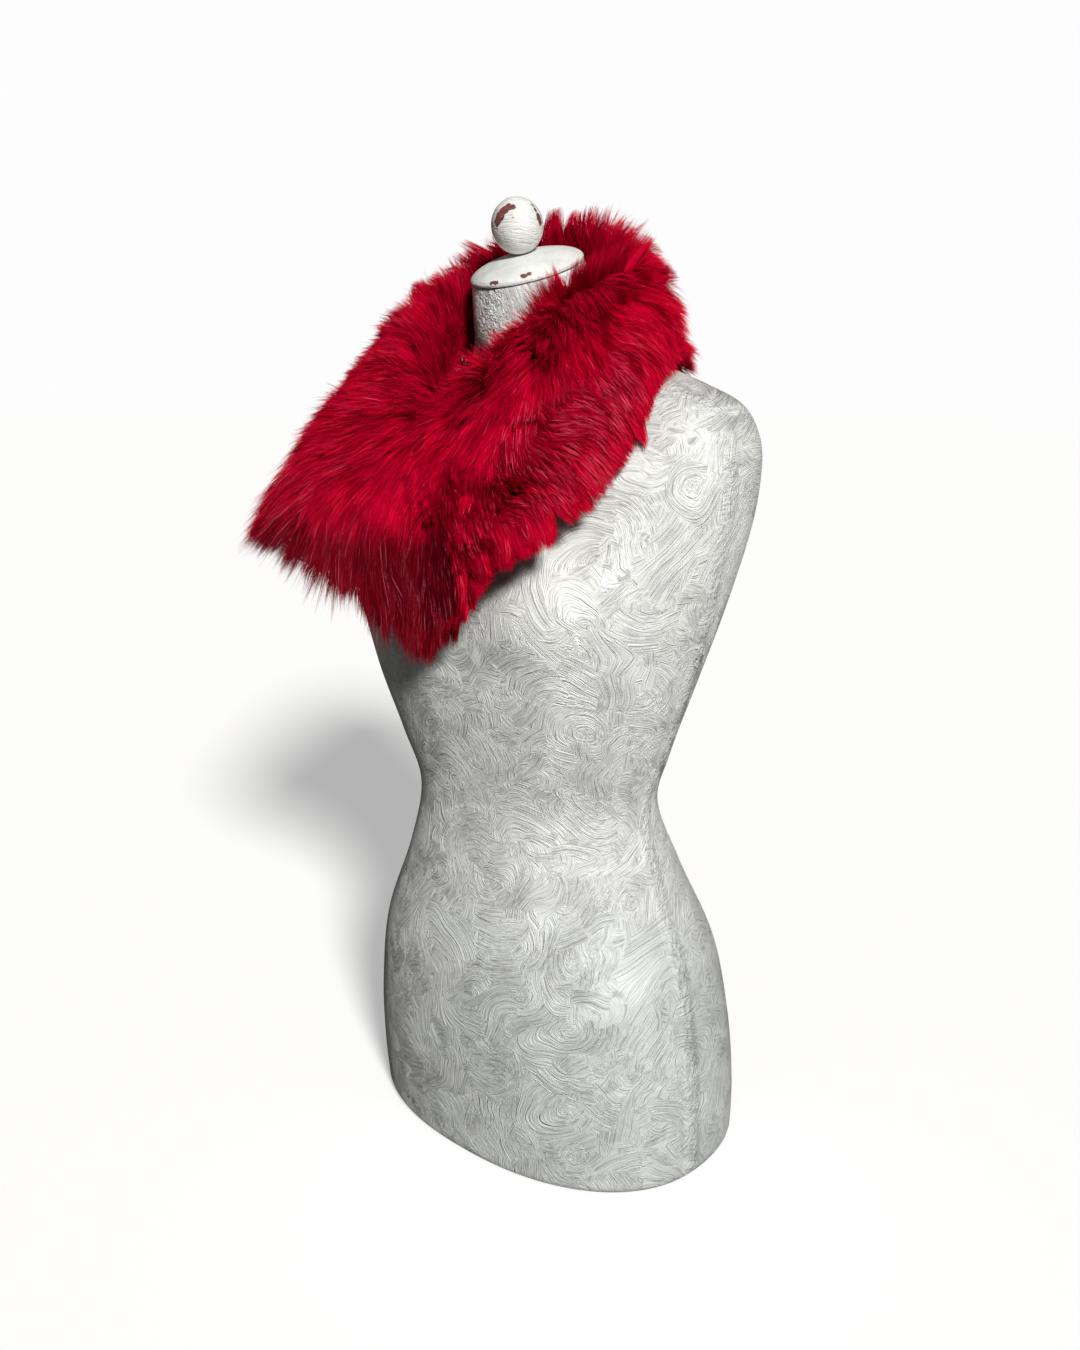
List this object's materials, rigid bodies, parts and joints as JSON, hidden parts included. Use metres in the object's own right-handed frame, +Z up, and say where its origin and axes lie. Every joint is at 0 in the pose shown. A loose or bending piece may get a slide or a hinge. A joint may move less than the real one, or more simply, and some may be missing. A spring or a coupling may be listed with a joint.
{
  "type": "fur collar wrap on dress form",
  "caption": "Folded-over fur collar wrap with a V neckline, worn on a limbless dress form with neck cap and ball finial.",
  "frame": {"origin": "on the flat base of the dress form, below the middle of its waist", "axes": "+Z up along the form's height, the form faces -Y, +X is the form's left side"},
  "size_m": [0.3634, 0.3547, 0.7865],
  "materials": {
    "wrap_left_front": "crimson dyed fur, long soft pile",
    "wrap_right_front": "crimson dyed fur, long soft pile",
    "wrap_back": "crimson dyed fur, long soft pile",
    "facing_left": "crimson dyed fur, shorter pile",
    "facing_right": "crimson dyed fur, shorter pile",
    "closure_eye": "dull nickel wire",
    "closure_hook": "dull nickel wire",
    "form_body": "thick brushed white paint",
    "neck_cap": "white paint, lightly chipped",
    "finial_ball": "white paint, chipped"
  },
  "bodies": {
    "root": {"wrap_left_front": "wrap_left_front", "wrap_right_front": "wrap_right_front", "wrap_back": "wrap_back", "facing_left": "facing_left", "facing_right": "facing_right", "closure_eye": "closure_eye", "closure_hook": "closure_hook", "form_body": "form_body", "neck_cap": "neck_cap", "finial_ball": "finial_ball"}
  },
  "joints": []
}
